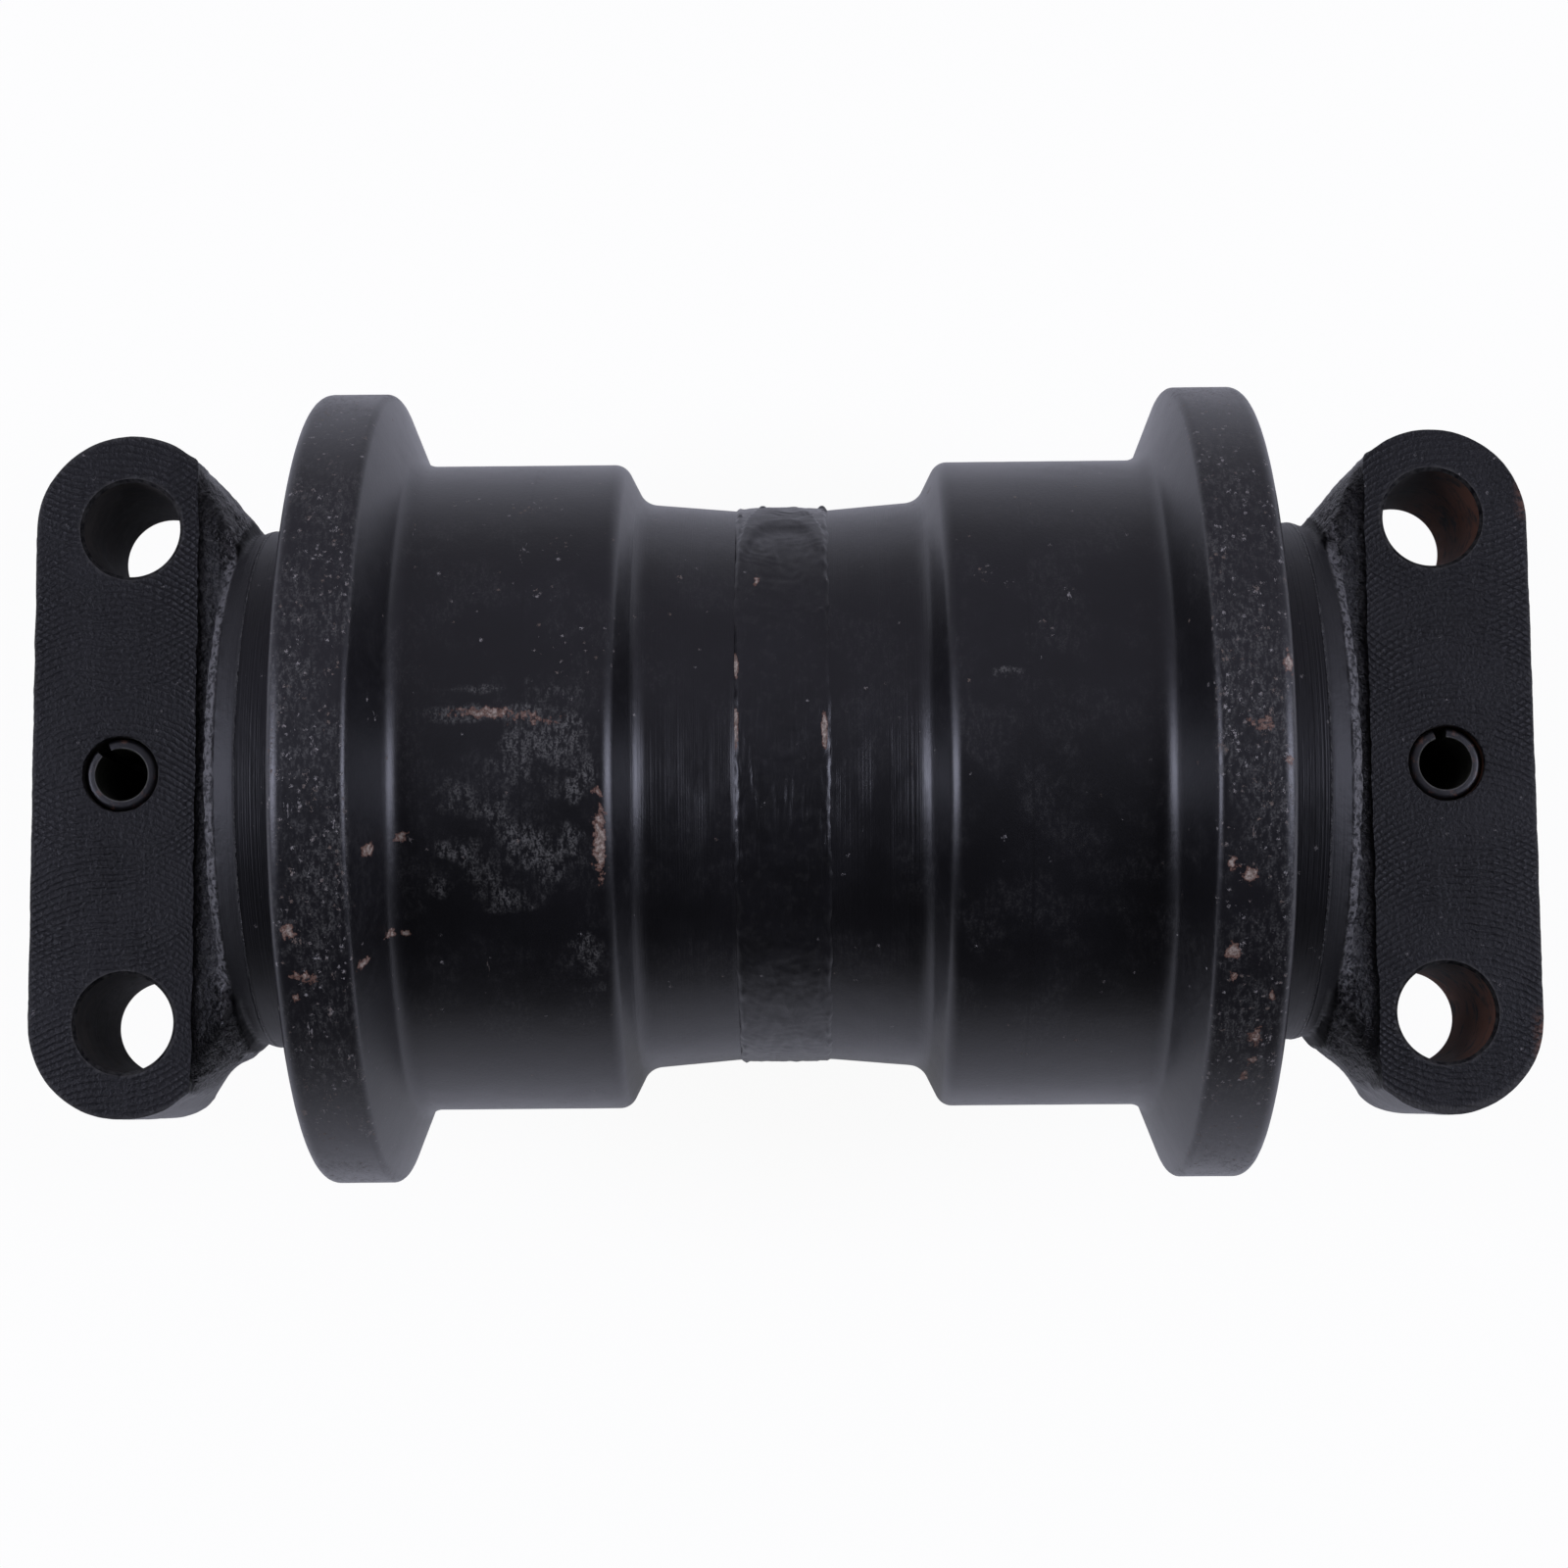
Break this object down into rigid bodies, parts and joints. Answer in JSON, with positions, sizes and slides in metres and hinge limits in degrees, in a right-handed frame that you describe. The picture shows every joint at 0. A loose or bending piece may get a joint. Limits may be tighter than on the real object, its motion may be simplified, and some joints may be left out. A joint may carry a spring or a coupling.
{
  "type": "track roller",
  "caption": "Bottom track roller for a crawler excavator: a flanged, welded steel shell turning on a fixed shaft between cast end collars that bolt up under the track frame.",
  "frame": {"origin": "middle of the roller, on the axis that it turns about", "axes": "+Y along the roller's axis, +Z out of the milled pads towards the track frame, X along the machine's travel"},
  "size_m": [0.1484, 0.2708, 0.1484],
  "materials": {
    "shell_paint": "black semi-gloss paint on turned steel, scuffed and chipped",
    "weld_paint": "black paint over a rippled weld",
    "collar_paint": "thin black paint over cast and milled steel",
    "shaft_steel": "ground steel, painted black at its ends",
    "pin_steel": "blackened spring steel",
    "plug_steel": "zinc-plated steel",
    "seal_iron": "lapped cast iron",
    "bush_bronze": "machined bronze",
    "seal_rubber": "moulded black rubber"
  },
  "bodies": {
    "fixed_side": {"collar_left": "collar_paint", "spring_pin_left": "pin_steel", "fixed_seal_ring_left": "seal_iron", "fixed_toric_ring_left": "seal_rubber", "shaft_o_ring_left": "seal_rubber", "collar_right": "collar_paint", "spring_pin_right": "pin_steel", "fixed_seal_ring_right": "seal_iron", "fixed_toric_ring_right": "seal_rubber", "shaft_o_ring_right": "seal_rubber", "shaft": "shaft_steel", "oil_plug": "plug_steel"},
    "rolling_side": {"roller_half_left": "shell_paint", "bush_left": "bush_bronze", "rolling_seal_ring_left": "seal_iron", "rolling_toric_ring_left": "seal_rubber", "roller_half_right": "shell_paint", "bush_right": "bush_bronze", "rolling_seal_ring_right": "seal_iron", "rolling_toric_ring_right": "seal_rubber", "weld_bead": "weld_paint"}
  },
  "joints": [
    {"name": "roller_spin", "type": "hinge", "parent": "fixed_side", "child": "rolling_side", "pos_m": [0, 0, 0], "axis": [0, 1, 0], "continuous": true}
  ]
}
